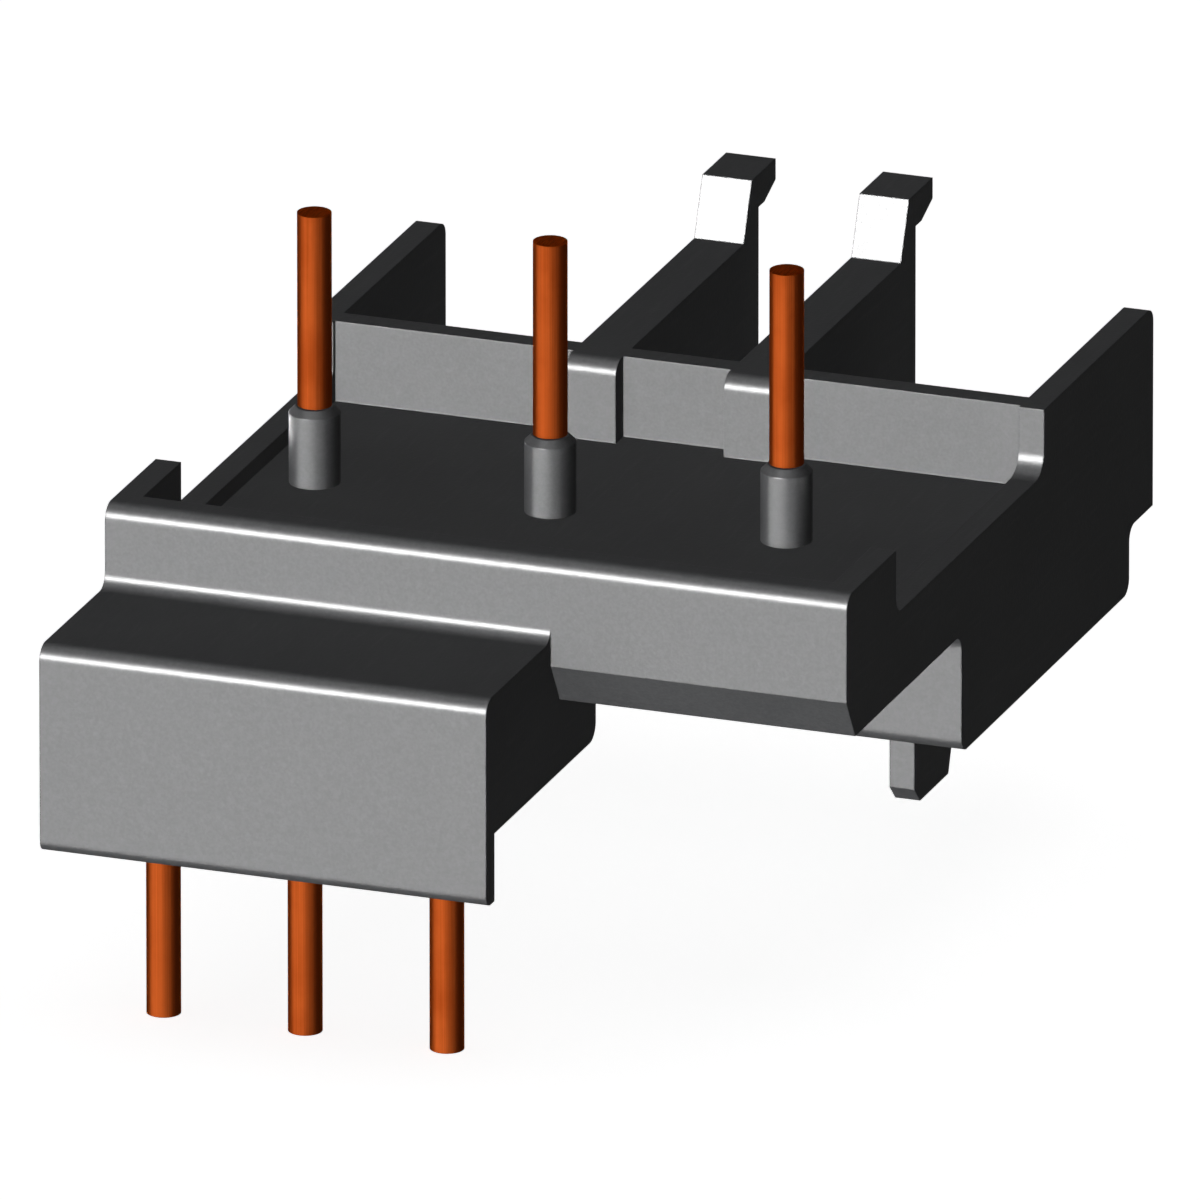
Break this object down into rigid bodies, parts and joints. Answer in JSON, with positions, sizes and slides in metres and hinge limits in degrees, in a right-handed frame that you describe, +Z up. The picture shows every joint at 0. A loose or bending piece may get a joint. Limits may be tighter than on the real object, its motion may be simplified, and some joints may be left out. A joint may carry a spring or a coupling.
{
  "type": "motor starter connecting link",
  "caption": "Link module with bent round copper pins in a plastic carrier, joining a contactor's upper terminals to a motor protection breaker's lower terminals.",
  "frame": {"origin": "on the axis of the middle contactor pin, where it leaves the terminal block's underside", "axes": "X across the device from the left pin to the right pin, +Y from its front to its back, +Z up, along the breaker pins"},
  "size_m": [0.045, 0.0704, 0.0402],
  "materials": {
    "housing": "fine moulded grain, anthracite",
    "base_cover": "fine moulded grain, anthracite",
    "sleeve": "smooth moulded, anthracite",
    "copper": "drawn bare copper wire, cut square"
  },
  "bodies": {
    "root": {"housing": "housing", "base_cover": "base_cover", "conductor_1": "copper", "conductor_2": "copper", "conductor_3": "copper", "sleeve_1": "sleeve", "sleeve_2": "sleeve", "sleeve_3": "sleeve"}
  },
  "joints": []
}
